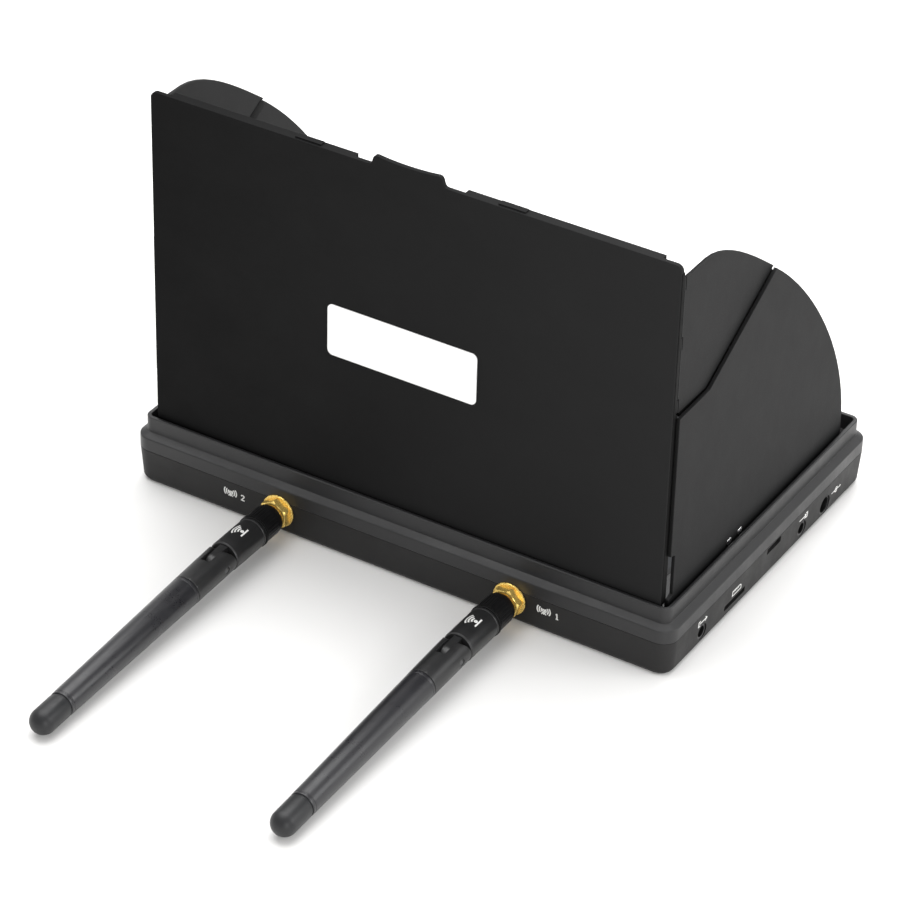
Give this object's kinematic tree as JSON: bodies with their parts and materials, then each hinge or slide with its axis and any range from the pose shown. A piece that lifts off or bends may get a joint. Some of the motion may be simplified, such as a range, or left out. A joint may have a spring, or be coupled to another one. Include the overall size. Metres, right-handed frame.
{
  "type": "wireless receiver unit",
  "caption": "Flat black field monitor with a radio receiver, standing folding sunshade and hinged rod antennas on gold connectors.",
  "frame": {"origin": "centre of the flat back face, on the table the unit lies on", "axes": "+X along the long side towards the sockets, +Y away from the antenna edge, +Z out of the screen"},
  "size_m": [0.185, 0.2439, 0.1361],
  "materials": {
    "shell_plastic": "fine texture",
    "frame_plastic": "fine texture",
    "screen_glass": "polished",
    "lcd": "satin",
    "diffuser": "matte",
    "circuit_board": "satin",
    "shield_steel": "satin",
    "battery_wrap": "satin",
    "speaker_body": "matte",
    "jack_plastic": "satin",
    "socket_steel": "satin",
    "gold_brass": "polished",
    "cable_jacket": "matte",
    "black_screw": "satin",
    "plated_screw": "satin",
    "insert_brass": "satin",
    "lens": "polished",
    "cover_plastic": "satin",
    "badge": "matte",
    "pin_steel": "satin",
    "flap_plastic": "satin",
    "key_rubber": "matte",
    "collar_plastic": "satin",
    "pin_dark": "satin",
    "sleeve_plastic": "satin",
    "radiator_brass": "satin"
  },
  "bodies": {
    "housing": {"back_shell": "shell_plastic", "front_frame": "frame_plastic", "screen_glass": "screen_glass", "lcd_panel": "lcd", "backlight_unit": "diffuser", "main_board": "circuit_board", "receiver_module_a": "shield_steel", "receiver_module_b": "shield_steel", "battery_pack": "battery_wrap", "speaker": "speaker_body", "av_out_jack": "jack_plastic", "av_in_jack": "jack_plastic", "dc_jack": "jack_plastic", "card_socket": "socket_steel", "usb_port": "socket_steel", "antenna_connector_a": "gold_brass", "antenna_connector_b": "gold_brass", "connector_nuts": "gold_brass", "connector_washers": "gold_brass", "coax_lead_a": "cable_jacket", "coax_lead_b": "cable_jacket", "case_screws": "black_screw", "board_screws": "plated_screw", "stand_insert": "insert_brass", "key_board": "circuit_board", "status_lenses": "lens", "cover_hinge_pins": "pin_steel", "flap_hinge_pins": "pin_steel", "antenna_collar_a": "collar_plastic", "antenna_collar_b": "collar_plastic"},
    "hood": {"hood_cover": "cover_plastic", "cover_badge": "badge", "wing_hinge_pins": "pin_steel"},
    "flap_right": {"side_flap_right": "flap_plastic"},
    "flap_left": {"side_flap_left": "flap_plastic"},
    "wing_r": {"wing_right": "flap_plastic"},
    "wing_l": {"wing_left": "flap_plastic"},
    "antenna_a_base": {"antenna_base_a": "collar_plastic"},
    "antenna_b_base": {"antenna_base_b": "collar_plastic"},
    "antenna_a_arm": {"antenna_arm_a": "collar_plastic", "elbow_pin_a": "pin_dark", "antenna_sleeve_a": "sleeve_plastic", "antenna_tip_a": "sleeve_plastic", "antenna_core_a": "radiator_brass"},
    "antenna_b_arm": {"antenna_arm_b": "collar_plastic", "elbow_pin_b": "pin_dark", "antenna_sleeve_b": "sleeve_plastic", "antenna_tip_b": "sleeve_plastic", "antenna_core_b": "radiator_brass"},
    "key_1_cap": {"key_1": "key_rubber"},
    "key_2_cap": {"key_2": "key_rubber"},
    "key_3_cap": {"key_3": "key_rubber"},
    "key_4_cap": {"key_4": "key_rubber"},
    "key_5_cap": {"key_5": "key_rubber"}
  },
  "joints": [
    {"name": "cover_hinge", "type": "hinge", "parent": "housing", "child": "hood", "pos_m": [0, -0.0552, 0.0199], "axis": [-1, 0, 0], "range_deg": [0, 90]},
    {"name": "flap_right_hinge", "type": "hinge", "parent": "housing", "child": "flap_right", "pos_m": [0.08725, 0, 0.0185], "axis": [0, -1, 0], "range_deg": [0, 90]},
    {"name": "flap_left_hinge", "type": "hinge", "parent": "housing", "child": "flap_left", "pos_m": [-0.08725, 0, 0.0185], "axis": [0, 1, 0], "range_deg": [0, 90]},
    {"name": "wing_right_hinge", "type": "hinge", "parent": "hood", "child": "wing_r", "pos_m": [0.0859, -0.0552, 0.105], "axis": [0, 0, 1], "range_deg": [0, 90]},
    {"name": "wing_left_hinge", "type": "hinge", "parent": "hood", "child": "wing_l", "pos_m": [-0.0859, -0.0552, 0.105], "axis": [0, 0, -1], "range_deg": [0, 90]},
    {"name": "antenna_a_swivel", "type": "hinge", "parent": "housing", "child": "antenna_a_base", "pos_m": [0.04, -0.0818, 0.0081], "axis": [0, -1, 0], "continuous": true},
    {"name": "antenna_a_elbow", "type": "hinge", "parent": "antenna_a_base", "child": "antenna_a_arm", "pos_m": [0.04, -0.0955, 0.0081], "axis": [-1, 0, 0], "range_deg": [0, 90]},
    {"name": "antenna_b_swivel", "type": "hinge", "parent": "housing", "child": "antenna_b_base", "pos_m": [-0.04, -0.0818, 0.0081], "axis": [0, -1, 0], "continuous": true},
    {"name": "antenna_b_elbow", "type": "hinge", "parent": "antenna_b_base", "child": "antenna_b_arm", "pos_m": [-0.04, -0.0955, 0.0081], "axis": [-1, 0, 0], "range_deg": [0, 90]},
    {"name": "key_1_press", "type": "slide", "parent": "housing", "child": "key_1_cap", "axis": [0, 0, -1], "range_m": [0, 0.0004], "stiffness_N_per_m": 800, "springref_m": -0.0004},
    {"name": "key_2_press", "type": "slide", "parent": "housing", "child": "key_2_cap", "axis": [0, 0, -1], "range_m": [0, 0.0004], "stiffness_N_per_m": 800, "springref_m": -0.0004},
    {"name": "key_3_press", "type": "slide", "parent": "housing", "child": "key_3_cap", "axis": [0, 0, -1], "range_m": [0, 0.0004], "stiffness_N_per_m": 800, "springref_m": -0.0004},
    {"name": "key_4_press", "type": "slide", "parent": "housing", "child": "key_4_cap", "axis": [0, 0, -1], "range_m": [0, 0.0004], "stiffness_N_per_m": 800, "springref_m": -0.0004},
    {"name": "key_5_press", "type": "slide", "parent": "housing", "child": "key_5_cap", "axis": [0, 0, -1], "range_m": [0, 0.0004], "stiffness_N_per_m": 800, "springref_m": -0.0004}
  ],
  "couplings": [
    {"joint": "wing_right_hinge", "follows": "cover_hinge", "ratio": 1},
    {"joint": "wing_left_hinge", "follows": "cover_hinge", "ratio": 1}
  ]
}
